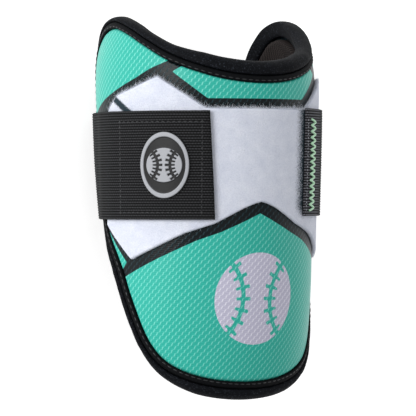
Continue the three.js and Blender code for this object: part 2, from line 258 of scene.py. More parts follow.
def slab(outer, inner):
    """A closed slab between two equal grids: both skins, the inner one turned over, and four
    strips that join their borders."""
    columns, rows = outer.shape[:2]
    skin = grid_faces(columns, rows)
    border = np.concatenate([
        np.arange(columns) * rows,
        (columns - 1) * rows + np.arange(1, rows),
        np.arange(columns - 2, -1, -1) * rows + rows - 1,
        np.arange(rows - 2, 0, -1),
    ])
    after = np.roll(border, -1)
    other = columns * rows
    side = np.stack([border, border + other, after + other, after], -1)
    return np.stack([outer, inner]), [np.concatenate([skin, skin[:, ::-1] + other, side])]


def closed_rings(rings, poles=None):
    """Points and faces of a body of rings: quads between them, and at each end a fan of triangles
    round a pole, which is the end ring's middle unless it is given."""
    rows, count = rings.shape[:2]
    if poles is None:
        poles = rings[[0, -1]].mean(1)
    k = np.arange(count)
    after = (k + 1) % count
    last, pole = (rows - 1) * count, rows * count
    fans = np.concatenate([
        np.stack([np.full(count, pole), k, after], -1),
        np.stack([np.full(count, pole + 1), last + after, last + k], -1),
    ])
    points = np.concatenate([rings.reshape(-1, 3), poles])
    return points, [grid_faces(rows, count, wrap_rows=True), fans]


def numbered_on(face_sets, copies, points_each):
    """A template's faces, numbered on for each of its copies."""
    shift = (np.arange(copies) * points_each)[:, None, None]
    return [(faces + shift).reshape(-1, faces.shape[1]) for faces in face_sets]


def circles(first, second, count):
    """A unit circle at each place: cosine times one direction plus sine times another, square to
    it."""
    angle = (np.arange(count) / count * 2 * math.pi)[None, :, None]
    return np.cos(angle) * first[:, None] + np.sin(angle) * second[:, None]


def rounded(distance, radius):
    """How far a quarter-round border has sunk: radius less the height of a circle of that radius,
    at a distance in from the border."""
    inside = np.clip(1 - distance / radius, 0, 1)
    return radius * (1 - np.sqrt(1 - inside ** 2))


# %% [markdown]
# ## Materials from small graphs
# A knit, a brushed pile and an elastic differ in how their threads catch the light. Each graph below
# takes its pattern from the piece's own sheet coordinates, so the weave follows the curve of the arm.

# %% Material helpers


def colour(code):
    """An sRGB hex colour as linear red, green, blue and alpha: each channel divided by 12.92 when
    dark, or else raised to 2.4 after a small offset."""
    parts = np.array([int(code[k:k + 2], 16) / 255 for k in (1, 3, 5)])
    linear = np.where(parts <= 0.04045, parts / 12.92, ((parts + 0.055) / 1.055) ** 2.4)
    return (*linear, 1.0)


def add(tree, kind, *values, out=0, **settings):
    """Adds a node, sets its properties, and fills its inputs with values, hex colours or other nodes'
    sockets, in order or by the names in a dict. A kind in capitals is a step of arithmetic, and a
    Mix blends two colours. Returns one of the node's outputs, or the node where it has none."""
    keys = range(len(values))
    if kind.isupper():
        kind, settings["operation"] = "Math", kind
    elif kind == "Mix":
        keys, out, settings["data_type"] = (0, 6, 7), 2, "RGBA"
    node = tree.nodes.new("ShaderNode" + kind)
    for key, value in settings.items():
        setattr(node, key, value)
    named = values and isinstance(values[0], dict)
    for key, value in (values[0] if named else dict(zip(keys, values))).items():
        if isinstance(value, bpy.types.NodeSocket):
            tree.links.new(value, node.inputs[key])
        else:
            node.inputs[key].default_value = colour(value) if isinstance(value, str) else value
    return node.outputs[out] if node.outputs else node


def new_material(name, roughness, specular=0.5):
    """An empty material with a Principled shader, whose constant sockets are set here."""
    material = bpy.data.materials.new(name)
    material.use_nodes = True
    material.diffuse_color = (0.5, 0.5, 0.5, 1)
    tree = material.node_tree
    tree.nodes.clear()
    surface = add(tree, "BsdfPrincipled", {"Roughness": roughness, "Specular IOR Level": specular})
    add(tree, "OutputMaterial", {"Surface": surface})
    return material, tree, surface.node


def coat(material, shader, base, height=None, depth_mm=0.0):
    """Gives a material its colour, and bump from a height between 0 and 1 times a depth."""
    tree = material.node_tree
    tree.links.new(base, shader.inputs["Base Color"])
    if height is not None:
        bump = add(tree, "Bump", {"Height": height, "Distance": depth_mm * MM, "Strength": 1.0})
        tree.links.new(bump, shader.inputs["Normal"])
    return material


def sheet_axes(tree):
    """The piece's sheet coordinates in millimetres, as two sockets."""
    split = add(tree, "SeparateXYZ", add(tree, "UVMap", uv_map="sheet")).node
    return [add(tree, "DIVIDE", split.outputs[k], UV_SCALE) for k in range(2)]


def stripes(tree, along, pitch, phase=0.0):
    """A wave from 0 to 1 with one crest for each pitch, in millimetres."""
    turns = add(tree, "MULTIPLY", along, 2 * math.pi / pitch)
    wave = add(tree, "SINE", add(tree, "ADD", turns, phase))
    return add(tree, "MULTIPLY_ADD", wave, 0.5, 0.5)


def grain(tree, scale_mm, detail=3.0, rough=0.5):
    """Noise on the object's own coordinates whose blotches are about scale_mm across."""
    place = add(tree, "TexCoord", out="Object")
    settings = {"Vector": place, "Scale": 1 / (scale_mm * MM), "Detail": detail, "Roughness": rough}
    return add(tree, "TexNoise", settings, out="Fac")


# %% [markdown]
# ## Printed knit over the shell
# The cover is a polyester knit with an embossed diamond cell, printed in mint with dark bands and
# bonded to the shell. A painted picture would blur up close, so its colour zones are outlines on the
# sheet. Their signed distance is stored on the points, and the shader turns it into a sharp border.

# %% Printed knit
# Each print's colours: between the threads, plain, and on the threads as a painted highlight
MINT = ("#269B8C", "#38B4A3", "#84D8CA")
BAND = ("#04090B", "#0A1519", "#243C43")
PALE = ("#ABA9BE", "#C6C4D6", "#EAE9F3")
THREAD_PITCH, CELL_PITCH = 2.75, 2.9
THREAD_SLOPE = math.radians(45)


def printed_knit():
    """Thin threads climb in stripes across the cloth, coloured with a painted highlight. Waves along them
    swell each thread into beads and push it from side to side, and a finer wave marks the cells between the
    threads."""
    material, tree, shader = new_material("printed_polyester_knit", 0.36, 0.17)
    x, y = sheet_axes(tree)
    flat, steep = math.cos(THREAD_SLOPE), math.sin(THREAD_SLOPE)
    climb = add(tree, "ADD", add(tree, "MULTIPLY", x, flat), add(tree, "MULTIPLY", y, steep))
    side = add(tree, "SUBTRACT", add(tree, "MULTIPLY", y, flat), add(tree, "MULTIPLY", x, steep))
    swing = add(tree, "MULTIPLY_ADD", stripes(tree, climb, CELL_PITCH, 1.6), 0.5, side)
    row = stripes(tree, swing, THREAD_PITCH)
    bead = add(tree, "MULTIPLY_ADD", stripes(tree, climb, CELL_PITCH), 0.8, 0.2)
    thread = add(tree, "MULTIPLY", add(tree, "POWER", row, 10.0), bead)
    cross = stripes(tree, add(tree, "MULTIPLY_ADD", side, 0.8, climb), CELL_PITCH / 2)
    cell = add(tree, "MULTIPLY_ADD", cross, 0.3, add(tree, "MULTIPLY", row, 0.2))
    cell = add(tree, "MULTIPLY_ADD", grain(tree, 0.7, 2.0), 0.5, cell)
    mint_side = add(tree, "Attribute", out="Fac", attribute_name="mint")
    ball_side = add(tree, "Attribute", out="Fac", attribute_name="print")
    in_mint = add(tree, "MapRange", add(tree, "MULTIPLY_ADD", grain(tree, 0.8), 0.24, mint_side), 0.02, 0.3)
    in_ball = add(tree, "MapRange", ball_side, -0.15, 0.15)
    # On the threads each print takes its painted highlight colour
    band, mint, ball = [
        add(tree, "Mix", thread, add(tree, "Mix", cell, deep, plain), thread_highlight)
        for deep, plain, thread_highlight in (BAND, MINT, PALE)
    ]
    base = add(tree, "Mix", in_ball, add(tree, "Mix", in_mint, band, mint), ball)
    return coat(material, shader, base, add(tree, "ADD", thread, cell), 0.09)


# %% Where the print changes colour


def side_distance(x, y, start, end):
    """Distance to a straight side: to its nearest point, found as a share of the side from 0 to 1."""
    (ax, ay), (bx, by) = start, end
    t = ((x - ax) * (bx - ax) + (y - ay) * (by - ay)) / ((bx - ax) ** 2 + (by - ay) ** 2)
    t = np.clip(t, 0, 1)
    return np.hypot(x - ax - t * (bx - ax), y - ay - t * (by - ay))


def polygon_distance(x, y, corners):
    """Signed distance to a polygon, positive inside: the least distance to its sides, and a count
    of the sides crossed by a ray for the sign."""
    nearest = np.full(x.shape, np.inf)
    inside = np.zeros(x.shape, bool)
    for start, end in zip(corners, np.roll(corners, -1, axis=0)):
        nearest = np.minimum(nearest, side_distance(x, y, start, end))
        (ax, ay), (bx, by) = start, end
        reach = ax + (y - ay) * (bx - ax) / np.where(by == ay, 1e-9, by - ay)
        inside ^= ((ay > y) != (by > y)) & (x < reach)
    return np.where(inside, nearest, -nearest)


# Corners of the mint zones, as turn and height above the bottom tip. The shoulder and the sliver
# are drawn on the right half alone and are the same on the left.
ZONES = {
    "top": [(-29.3, 171.3), (29.3, 171.3), (47.6, 186.4), (41.5, 190.0), (30, 215), (-30, 215),
            (-41.5, 190.0), (-47.6, 186.4)],
    "shoulder": [(50.2, 192.3), (60, 188.2), (68.9, 183.1), (86.9, 174.9), (96.0, 171.0),
                 (112, 163.5), (130, 160), (130, 230), (40, 230)],
    "face": [(0, 107.0), (11.4, 101.3), (21.7, 96.4), (34.0, 91.8), (55, 81.5), (75.6, 71.1), (84, 66),
             (90, -10), (-90, -10), (-84, 66), (-75.6, 71.1), (-55, 81.5), (-34.0, 91.8), (-21.7, 96.4),
             (-11.4, 101.3)],
    "sliver": [(101, 112), (96.1, 102.6), (74.6, 79.4), (78.0, 74.6), (92, 92), (104, 108)],
}


def mint_distance(x, y):
    """The greatest of the zones' signed distances; side zones are read on the folded sheet."""
    result = np.full(x.shape, -np.inf)
    for name, corners in ZONES.items():
        across = np.abs(x) if name in ("shoulder", "sliver") else x
        outline = np.array(corners, float) * (SHEET_SCALE, 1)
        result = np.maximum(result, polygon_distance(across, y, outline))
    return result


BALL_ACROSS, BALL_HEIGHT, BALL_RADIUS, BALL_LINE = 1.0, 59.0, 26.0, 2.6
# The seam circle's centre and radius as shares of the ball's, and a tick's angle and half sizes in lines
SEAM_CENTRE, SEAM_BEND = 1.42, 1.08
TICK_ANGLE, TICK_WIDE, TICK_LONG = 13.0, 0.36, 1.7


def ball_distance(x, y, radius, line):
    """A plain ball mark: a disc, cut by two seams. Each seam is a stretch of a circle centred
    outside the disc, with short ticks across it."""
    disc = radius - np.hypot(x, y)
    centre = radius * SEAM_CENTRE
    bend = radius * SEAM_BEND
    from_seam = np.abs(np.hypot(np.abs(x) - centre, y) - bend)
    ticks = np.degrees(np.arctan2(y, centre - np.abs(x))) / TICK_ANGLE
    from_tick = np.abs(np.radians((ticks - np.round(ticks)) * TICK_ANGLE)) * bend
    tick = np.maximum(from_tick - line * TICK_WIDE, from_seam - line * TICK_LONG)
    return np.minimum(disc, np.minimum(from_seam - line / 2, tick))


# %% The cover as rings from its middle to its edge and back underneath
COVER_AROUND, COVER_RINGS, UNDER_RINGS = 600, 96, 12
SHELL_WALL, COVER_EDGE = 3.6, 1.1
MIDDLE = np.array([0.0, 118.0])
FIRST_RING = 0.004


def polar_body(x, y, top_rings, top_lift, under_rings, under_lift):
    """Rings shrunk from an outline towards the sheet's middle, over the top and back underneath.
    The top's lift is worked out from x, y and the distance in from the outline. Returns points,
    faces and sheet coordinates."""
    share = np.concatenate([np.linspace(FIRST_RING, 1, top_rings), np.linspace(1, FIRST_RING, under_rings)])
    outline = np.stack([x, y], -1) - MIDDLE
    sheet = MIDDLE + share[:, None, None] * outline
    gap = (1 - share[:, None]) * np.hypot(*outline.T)
    is_top = (np.arange(len(share)) < top_rings)[:, None]
    lift = np.where(is_top, top_lift(sheet[..., 0], sheet[..., 1], gap), under_lift)
    points, faces = closed_rings(on_arm(sheet[..., 0] / SHEET_SCALE, sheet[..., 1], lift))
    return points, faces, np.concatenate([sheet.reshape(-1, 2), [MIDDLE, MIDDLE]])


edge_x, edge_y, _, _, _, _, edge_length = edge_places(COVER_AROUND)
cover_points, cover_faces, cover_flat = polar_body(
    edge_x, edge_y, COVER_RINGS, lambda x, y, gap: -rounded(gap, COVER_EDGE), UNDER_RINGS, -SHELL_WALL)
on_top = np.arange(len(cover_flat)) < COVER_RINGS * COVER_AROUND
cover_x, cover_y = cover_flat.T
make_piece(
    "printed_cover", cover_points, cover_faces, "printed_knit", printed_knit(), "outer_shell", uv=cover_flat,
    values={
        "mint": np.where(on_top, mint_distance(cover_x, cover_y), -1.0),
        "print": ball_distance(cover_x - BALL_ACROSS, cover_y - BALL_HEIGHT, BALL_RADIUS, BALL_LINE),
    })

# %% [markdown]
# ## The brushed loop panel
# Loop fabric is knitted and then brushed, so it has a soft uneven nap and no visible weave. Its cut
# border is rounded and slightly fuzzy. Real hair for the pile would be slow and is lost in an export,
# so the nap is a low noise in the mesh, and the finest pile is bump.

# %% Loop panel
SEAM_GAP = 0.4
PANEL_THICKNESS = 2.0
# Columns: turn, upper and lower edge as shares of the guard's length
PANEL_ROWS = np.array([
    (0, 0.754, 0.516), (4, 0.754, 0.511), (10, 0.754, 0.499), (25, 0.754, 0.460), (30, 0.755, 0.452),
    (33, 0.764, 0.447), (40, 0.788, 0.436), (55, 0.836, 0.401), (70, 0.806, 0.368), (80, 0.789, 0.412),
    (85, 0.765, 0.434), (90, 0.735, 0.457),
])


def brushed_loop():
    """Cool white nylon pile: fine noise for the tufts, a broad one for where the nap lies down. The dark
    print shows where the pile is thin, a painted shadow of the strap's sewn end lies beside it, and noise
    breaks their borders into tufts."""
    material, tree, shader = new_material("brushed_nylon_loop", 0.9, 0.3)
    tufts = grain(tree, 0.9, 5.0, 0.7)
    nap = grain(tree, 7.0, 2.0)
    tone = add(tree, "MULTIPLY_ADD", tufts, 0.7, add(tree, "MULTIPLY", nap, 0.45))
    pile = add(tree, "Mix", add(tree, "SUBTRACT", tone, 0.12, use_clamp=True), "#B8BFD3", "#F4F6FD")
    print_and_strap_shadow = add(tree, "Attribute", out="Fac", attribute_name="print_and_strap_shadow")
    fray = add(tree, "SUBTRACT", grain(tree, 0.7, 4.0, 0.7), 0.5)
    dark_shown = add(tree, "MapRange", add(tree, "MULTIPLY_ADD", fray, 1.5, print_and_strap_shadow), 0.15, 0.75)
    # The dark shown is print in the branches and painted shadow beside the sewn end
    base = add(tree, "Mix", dark_shown, pile, "#22333C")
    return coat(material, shader, base, add(tree, "MULTIPLY_ADD", nap, 0.3, tufts), 0.8)


def panel_edge(turn, column):
    """Height of the panel's upper edge (column 1) or lower edge (column 2) at a turn."""
    return np.interp(np.abs(turn), PANEL_ROWS[:, 0], PANEL_ROWS[:, column]) * GUARD_LENGTH


def wave_noise(x, y, size, seed, octaves=4):
    """Smooth noise: a sum of sine waves in random directions, finer and weaker with each octave."""
    random = np.random.default_rng(seed)
    total = np.zeros(np.broadcast(x, y).shape)
    for octave in range(octaves):
        for _ in range(5):
            heading = random.uniform(0, 2 * math.pi)
            phase = random.uniform(0, 2 * math.pi)
            rate = 2 * math.pi / size * 1.7 ** octave * random.uniform(0.7, 1.3)
            total += np.sin(rate * (x * math.cos(heading) + y * math.sin(heading)) + phase) * 0.62 ** octave
    return total / 5


PANEL_COLUMNS, PANEL_LINES = 300, 90
PANEL_BORDER, PANEL_FOOT, NAP_HEIGHT, NAP_SIZE = 1.3, 0.15, 0.05, 9.0
PANEL_END = PANEL_ROWS[-1, 0]
panel_turn = np.linspace(-PANEL_END, PANEL_END, PANEL_COLUMNS)[:, None]
# The lines lie closer at the two edges, where the border is rounded
panel_share = (1 - np.cos(np.linspace(0, math.pi, PANEL_LINES))) / 2
panel_share = 0.6 * panel_share + 0.4 * np.linspace(0, 1, PANEL_LINES)
panel_high, panel_low = panel_edge(panel_turn, 1), panel_edge(panel_turn, 2)
panel_y = panel_low + (panel_high - panel_low) * panel_share[None, :]
panel_x = np.broadcast_to(panel_turn * SHEET_SCALE, panel_y.shape)
to_end = (PANEL_END - np.abs(panel_turn)) * SHEET_SCALE
to_border = np.minimum(np.minimum(panel_y - panel_low, panel_high - panel_y), to_end)
panel_nap = NAP_HEIGHT * wave_noise(panel_x, panel_y, NAP_SIZE, seed=5, octaves=5)

# Dark print under thin pile in a narrow branch at each side, and a painted shadow in a strip beside the
# strap's sewn end. The share of dark that shows falls from the middle line to 0 at the band's half width,
# over the last 1.6 mm in the branch and over all 9 mm in the strip.
BRANCH = np.array([(-86.0, 175.0), (-66.0, 159.7)]) * (SHEET_SCALE, 1)
SEWN_STRIP = np.array([(29.0, 112.0), (29.0, 163.0)]) * (SHEET_SCALE, 1)
BRANCH_HALF, BRANCH_FADE, STRIP_HALF = 2.6, 1.6, 9.0
dark_print_and_shadow = np.clip(np.maximum(
    (BRANCH_HALF - side_distance(-np.abs(panel_x), panel_y, *BRANCH)) / BRANCH_FADE,
    1 - side_distance(panel_x, panel_y, *SEWN_STRIP) / STRIP_HALF), 0, 1)
panel_lift = SEAM_GAP + PANEL_THICKNESS + panel_nap - rounded(to_border, PANEL_BORDER)
panel_flat = np.stack([panel_x, panel_y], -1)
# The panel's values carry its dark print and the painted shadow beside the strap's sewn end
make_piece(
    "loop_cover", *slab(on_arm(panel_turn, panel_y, panel_lift), on_arm(panel_turn, panel_y, PANEL_FOOT)),
    "brushed_loop", brushed_loop(), "loop_panel",
    uv=np.stack([panel_flat, panel_flat]), values={"print_and_strap_shadow": np.stack([dark_print_and_shadow, dark_print_and_shadow])})

# %% [markdown]
# ## The rim: binding tape and a soft lip
# A stitched tape closes the shell's edge, and a jersey-faced neoprene lip rolls past it. Both are a
# profile carried round the same closed edge curve, so they stay side by side all the way. Corner
# cutting turns the few corners of each profile into a soft section.

# %% Rim profiles
SHELF_LIFT = -SHELL_WALL - SEAM_GAP
RIM_THICKNESS = 3.8
RIM_FLOOR = SHELF_LIFT - RIM_THICKNESS
BINDING_WIDTH, BINDING_CROWN, PRESSED_SHARE = 4.0, 1.0, 0.3
ROLL_WIDTH, ROLL_CROWN, RIM_REACH = 8.0, 1.6, 2.0


def cut_corners(profile, times):
    """Corner cutting on closed profiles: each side keeps the points a quarter of the way from its
    ends, which tends to a smooth curve."""
    for _ in range(times):
        after = np.roll(profile, -1, axis=-2)
        pair = np.stack([0.75 * profile + 0.25 * after, 0.25 * profile + 0.75 * after], axis=-2)
        profile = pair.reshape(*profile.shape[:-2], -1, 2)
    return profile


def carried_ring(name, profile, *dress):
    """A profile of (distance out, lift) carried round the edge. It may differ from place to place.
    The rest is what make_piece takes: slot, material and CAD node."""
    count, corners = profile.shape[:2]
    x, y, step_x, step_y, _, _, length = edge_places(count)
    out, lift = profile[..., 0], profile[..., 1]
    sheet_x = x[:, None] + step_x[:, None] * out
    sheet_y = y[:, None] + step_y[:, None] * out
    run = (np.arange(count) / count * length)[:, None]
    girth = np.cumsum(np.hypot(*np.diff(profile[0], axis=0, prepend=profile[0][:1]).T))
    flat = np.stack(np.broadcast_arrays(run, girth), -1)
    points = on_arm(sheet_x / SHEET_SCALE, sheet_y, lift)
    return make_piece(name, points, [grid_faces(count, corners, True, True)], *dress, uv=flat)


def edge_tape():
    """Black polyester binding tape: a fine cross rib and a slight sheen on its crown."""
    material, tree, shader = new_material("woven_binding_tape", 0.7, 0.1)
    run, girth = sheet_axes(tree)
    weave = add(tree, "MULTIPLY", stripes(tree, run, 0.9), stripes(tree, girth, 0.8))
    return coat(material, shader, add(tree, "Mix", weave, "#040507", "#0D0F13"), weave, 0.12)


def neoprene():
    """Jersey-faced neoprene: nearly black and smooth, with a few pale flecks painted on its face as glints
    of light.
    """
    material, tree, shader = new_material("jersey_faced_neoprene", 0.7, 0.08)
    fine = grain(tree, 0.5)
    tone = add(tree, "MULTIPLY_ADD", fine, 0.4, add(tree, "MULTIPLY", grain(tree, 14.0, 2.0), 0.5))
    # The pale flecks are painted glints
    fleck = add(tree, "MapRange", grain(tree, 0.9, 2.0, 0.8), 0.56, 0.74)
    face = add(tree, "Mix", tone, "#040507", "#0E1015")
    base = add(tree, "Mix", add(tree, "MULTIPLY", fleck, 0.7), face, "#41464F")
    return coat(material, shader, base, fine, 0.05)


# %% The binding tape
TAPE_AROUND, TAPE_BEVEL = 800, 0.9


def tape_height(free_share):
    """Height of the tape's crown: its full one, or a share of it where the strap presses it flat."""
    return BINDING_CROWN * (PRESSED_SHARE + (1 - PRESSED_SHARE) * free_share)


tape_start, tape_end = SEAM_GAP * 0.5, BINDING_WIDTH
tape_crown = tape_height(edge_places(TAPE_AROUND)[5])
tape_foot = np.full(TAPE_AROUND, SHELF_LIFT + SEAM_GAP)
TAPE_ROWS = [
    (tape_start, tape_foot), (tape_start, 0.3 * tape_crown), (tape_start + TAPE_BEVEL * 0.6, tape_crown),
    (tape_end - TAPE_BEVEL, tape_crown), (tape_end, 0.3 * tape_crown), (tape_end, tape_foot),
]
tape_profile = np.stack([np.stack([np.full(TAPE_AROUND, out), lift], -1) for out, lift in TAPE_ROWS], 1)
carried_ring("binding_tape", cut_corners(tape_profile, 3), "edge_tape", edge_tape(), "edge_binding")

# %% The soft lip
RIM_AROUND = 700
# Wrinkles: their height and size, on a circle that stands for the edge
PUCKER_HEIGHT, PUCKER_SIZE, PUCKER_CIRCLE = 0.25, 16, 120
rim_wide, rim_tall = edge_places(RIM_AROUND)[4:6]
lip = ROLL_WIDTH * rim_wide
crown = ROLL_CROWN * rim_tall
rim_angle = np.arange(RIM_AROUND) / RIM_AROUND * 2 * math.pi
pucker = PUCKER_HEIGHT * wave_noise(
    np.cos(rim_angle) * PUCKER_CIRCLE, np.sin(rim_angle) * PUCKER_CIRCLE, PUCKER_SIZE, seed=8)
lip_from = BINDING_WIDTH + SEAM_GAP * 0.5
# Columns: distance past the binding as a share of the lip, added distance, share of the crown, lift
LIP_ROWS = [
    (0, -RIM_REACH - lip_from, 0, RIM_FLOOR), (0, -RIM_REACH - lip_from, 0, SHELF_LIFT),
    (0, -1.5, 0, SHELF_LIFT), (0, 0, 0, SHELF_LIFT), (0, 0, 0, SHELF_LIFT), (0, 0, 0.2, 0),
    (0.2, 0, 1, 0), (0.55, 0, 1.15, 0), (0.9, 0, 0.3, -0.2), (1.03, 0, 0, SHELF_LIFT * 0.45),
    (1.03, 0, 0, RIM_FLOOR * 0.68), (0.7, 0, 0, RIM_FLOOR), (0, 0, 0, RIM_FLOOR),
]
lip_profile = np.stack([
    np.stack([lip_from + lip * share + shift, crown * lifted + lift], -1)
    for share, shift, lifted, lift in LIP_ROWS
], axis=1)
lip_profile = cut_corners(lip_profile, 3)
beyond = np.clip((lip_profile[..., 0] - lip_from) / 3, 0, 1)
lip_profile[..., 1] += beyond * (pucker * rim_tall)[:, None]
rim = carried_ring("neoprene_rim", lip_profile, "neoprene_rim", neoprene(), "rim_liner")

# %% [markdown]
# ## The lined pad inside
# The pad is foam under a rib knit. Its ribs run along the arm and can be seen past the far lobe, so
# they are real ridges in the mesh. It is made of rings, as the cover is, but its worked face is the
# one that looks at the arm. The border is crowned like any padded edge.

# %% Inner pad
PAD_AROUND, PAD_RINGS, PAD_BACK_RINGS = 420, 130, 8
PAD_THICKNESS, PAD_GROOVE, PAD_BORDER = 6.5, 1.5, 4.0
RIB_PITCH, RIB_DEPTH = 2.4, 0.3


def rib_knit():
    """Brown-black rib knit: painted shade in the valleys between matt ridges, with small loops across them.
    """
    material, tree, shader = new_material("rib_knit_lining", 0.85, 0.2)
    x, y = sheet_axes(tree)
    loops = add(tree, "MULTIPLY_ADD", stripes(tree, y, 1.1), 0.4, 0.6)
    tone = add(tree, "MULTIPLY", stripes(tree, x, RIB_PITCH), loops)
    # Painted shade darkens the valleys between the ribs
    return coat(material, shader, add(tree, "Mix", tone, "#0C0A0A", "#302826"), tone, 0.3)


def pad_face(x, y, gap):
    """The lining's ribs, a cosine across the arm, on a level foam face with a rounded border."""
    ribs = RIB_DEPTH * np.cos(2 * math.pi * x / RIB_PITCH)
    return SHELF_LIFT - PAD_THICKNESS - ribs + rounded(gap, PAD_BORDER)


edge_x, edge_y, edge_step_x, edge_step_y = edge_places(PAD_AROUND)[:4]
pad_inset = RIM_REACH + PAD_GROOVE
pad_points, pad_faces, pad_flat = polar_body(
    edge_x - edge_step_x * pad_inset, edge_y - edge_step_y * pad_inset,
    PAD_RINGS, pad_face, PAD_BACK_RINGS, SHELF_LIFT)
pad = make_piece("lined_pad", pad_points, pad_faces, "rib_lining", rib_knit(), "inner_pad", uv=pad_flat)

# %% [markdown]
# ## The elastic strap
# Knitted elastic has cords running along its length. Here they are ridges in the mesh, and the fine
# yarns across them are bump. The route is the one in the model: round the left flank, flat across
# the open back, and up to the sewn end.

# %% Strap route
STRAP_TIP, STRAP_SLANT, STRAP_ROOT = -26.6, 3.0, 28.5
FLAT_BACK, STRAP_FOLD, STRAP_PULL = 74.0, 5.0, 0.18
STRAP_THICKNESS, HOOK_THICKNESS, HOOK_MARGIN = 1.8, 0.8, 5.0
HOOK_FROM, EASE_TURN = -75.0, 12.0
STRAP_SEAT = 2 * SEAM_GAP + PANEL_THICKNESS
RAISED_SEAT = STRAP_SEAT + HOOK_THICKNESS + SEAM_GAP
FLANK_SEAT = BINDING_CROWN * PRESSED_SHARE + SEAM_GAP
# Columns: share of the guard's length, turn at which the strap leaves the flanks there
LEAVE_ROWS = np.array([(0.470, 97.0), (0.540, 105.0), (0.609, 112.0), (0.678, 117.5), (0.748, 121.0)])
CORD_COUNT, POINTS_PER_CORD = 41, 6
CORD_PITCH = STRAP_WIDTH / CORD_COUNT
FLANK_STEPS, BEND_STEPS = 56, 22


def s_curve(value, low, high):
    """An S-curve from 0 to 1 between two values: three squares less two cubes."""
    t = np.clip((value - low) / (high - low), 0, 1)
    return t * t * (3 - 2 * t)


def strap_lift(turn):
    """Lift of the strap's inner face: raised where the hook patch lies under it, and lowered on to
    the binding past the panel's ends, each in an S-curve."""
    past = s_curve(np.abs(turn), PANEL_END, PANEL_END + EASE_TURN)
    hook_edge = HOOK_FROM - HOOK_MARGIN
    over_hook = np.where(turn < 0, s_curve(turn, hook_edge - EASE_TURN, hook_edge), 0)
    seat = STRAP_SEAT + (RAISED_SEAT - STRAP_SEAT) * over_hook
    return seat + (FLANK_SEAT - seat) * past


def strap_bend(side, leaves, heights):
    """The stretch from a flank to the flat back: a cubic curve that leaves along the flank and
    arrives level. Its outward direction is the tangent turned a quarter."""
    start = on_arm(side * leaves, heights, FLANK_SEAT)
    heading = unit(start - on_arm(side * (leaves - 1), heights, FLANK_SEAT))
    end = start.copy()
    end[..., 0] = AXIS_X + side * FLAT_BACK / 2 * MM
    end[..., 2] = AXIS_Z + (STRAP_THICKNESS - STRAP_DROP) * MM
    second = start + heading * STRAP_PULL * np.linalg.norm(end - start, axis=-1, keepdims=True)
    third = end + (side * STRAP_FOLD * MM, 0, 0)
    t = (np.arange(1, BEND_STEPS + 1) / BEND_STEPS)[:, None, None]
    s = 1 - t
    points = s ** 3 * start + 3 * s ** 2 * t * second + 3 * s * t ** 2 * third + t ** 3 * end
    slope = unit(s ** 2 * (second - start) + 2 * s * t * (third - second) + t ** 2 * (end - third))
    out = np.stack([-slope[..., 2], 0 * slope[..., 1], slope[..., 0]], -1) * side
    return points, out


strap_across = np.linspace(-0.5, 0.5, CORD_COUNT * POINTS_PER_CORD + 1) * STRAP_WIDTH


def strap_half(side, end_turn):
    """One side of the strap, from its end down to the flat back: points and the way out. The right
    side sits higher."""
    heights = (STRAP_HEIGHT + strap_across)[None, :] + (STRAP_LEAN if side > 0 else 0)
    leaves = np.interp(heights / GUARD_LENGTH, LEAVE_ROWS[:, 0], LEAVE_ROWS[:, 1])
    turns = end_turn + (side * leaves - end_turn) * np.linspace(0, 1, FLANK_STEPS)[:, None]
    on_flank = arm_spot(turns, heights, strap_lift(turns))
    return [np.concatenate(both) for both in zip(on_flank, strap_bend(side, leaves, heights))]


left = strap_half(-1, STRAP_TIP - STRAP_SLANT * strap_across / STRAP_WIDTH)
right = strap_half(1, STRAP_ROOT)
strap_points, strap_out = (np.concatenate([a, b[::-1]]) for a, b in zip(left, right))
strap_gaps = np.linalg.norm(np.diff(strap_points, axis=0, prepend=strap_points[:1]), axis=-1)
strap_run = np.cumsum(strap_gaps, axis=0) / MM
print(f"strap is {strap_run[-1].mean():.0f} mm long")

# %% Strap finish
YARN_PITCH = 1.7


def ribbed_elastic():
    """Charcoal knitted elastic: slanted yarn loops across the cords, whose slant turns over from cord to
    cord, with painted shade in the valleys between the cords and a painted highlight on the crests at the
    sewn end. The loops are drawn coarser than the real ones, so that they show."""
    material, tree, shader = new_material("knitted_elastic", 0.8, 0.12)
    run, across = sheet_axes(tree)
    cord = add(tree, "POWER", stripes(tree, across, CORD_PITCH, math.pi / 2), 1.5)
    slant = add(tree, "MULTIPLY_ADD", add(tree, "PINGPONG", across, CORD_PITCH), 0.7, run)
    yarn = add(tree, "MULTIPLY_ADD", stripes(tree, slant, YARN_PITCH), 0.6, 0.4)
    fleck = add(tree, "MULTIPLY_ADD", grain(tree, 0.7), 1.1, 0.45)
    tone = add(tree, "MULTIPLY", add(tree, "MULTIPLY", cord, yarn), fleck, use_clamp=True)
    sewn_end_highlight = add(tree, "Attribute", out="Fac", attribute_name="sewn_end_highlight")
    # Painted shade darkens the valleys, and a painted highlight pales the crests at the sewn end
    base = add(tree, "Mix", tone, "#050506", add(tree, "Mix", sewn_end_highlight, "#3F4042", "#7A7B82"))
    return coat(material, shader, base, tone, 0.22)


# %% Strap mesh
CORD_HEIGHT, STRAP_EDGE, STRAP_FOOT = 0.16, 0.8, 0.05
SEWN_LENGTH, SEWN_FADE = 24, 8
to_ends = np.minimum(strap_run, strap_run[-1] - strap_run)
to_sides = (STRAP_WIDTH / 2 - np.abs(strap_across))[None, :]
cords = CORD_HEIGHT * np.cos(2 * math.pi * strap_across / CORD_PITCH)[None, :]
strap_top = STRAP_THICKNESS - CORD_HEIGHT + cords - rounded(np.minimum(to_ends, to_sides), STRAP_EDGE)
strap_outer = strap_points + strap_out * strap_top[..., None] * MM
strap_inner = strap_points + strap_out * STRAP_FOOT * MM
strap_flat = np.stack(np.broadcast_arrays(strap_run, strap_across[None, :]), -1)
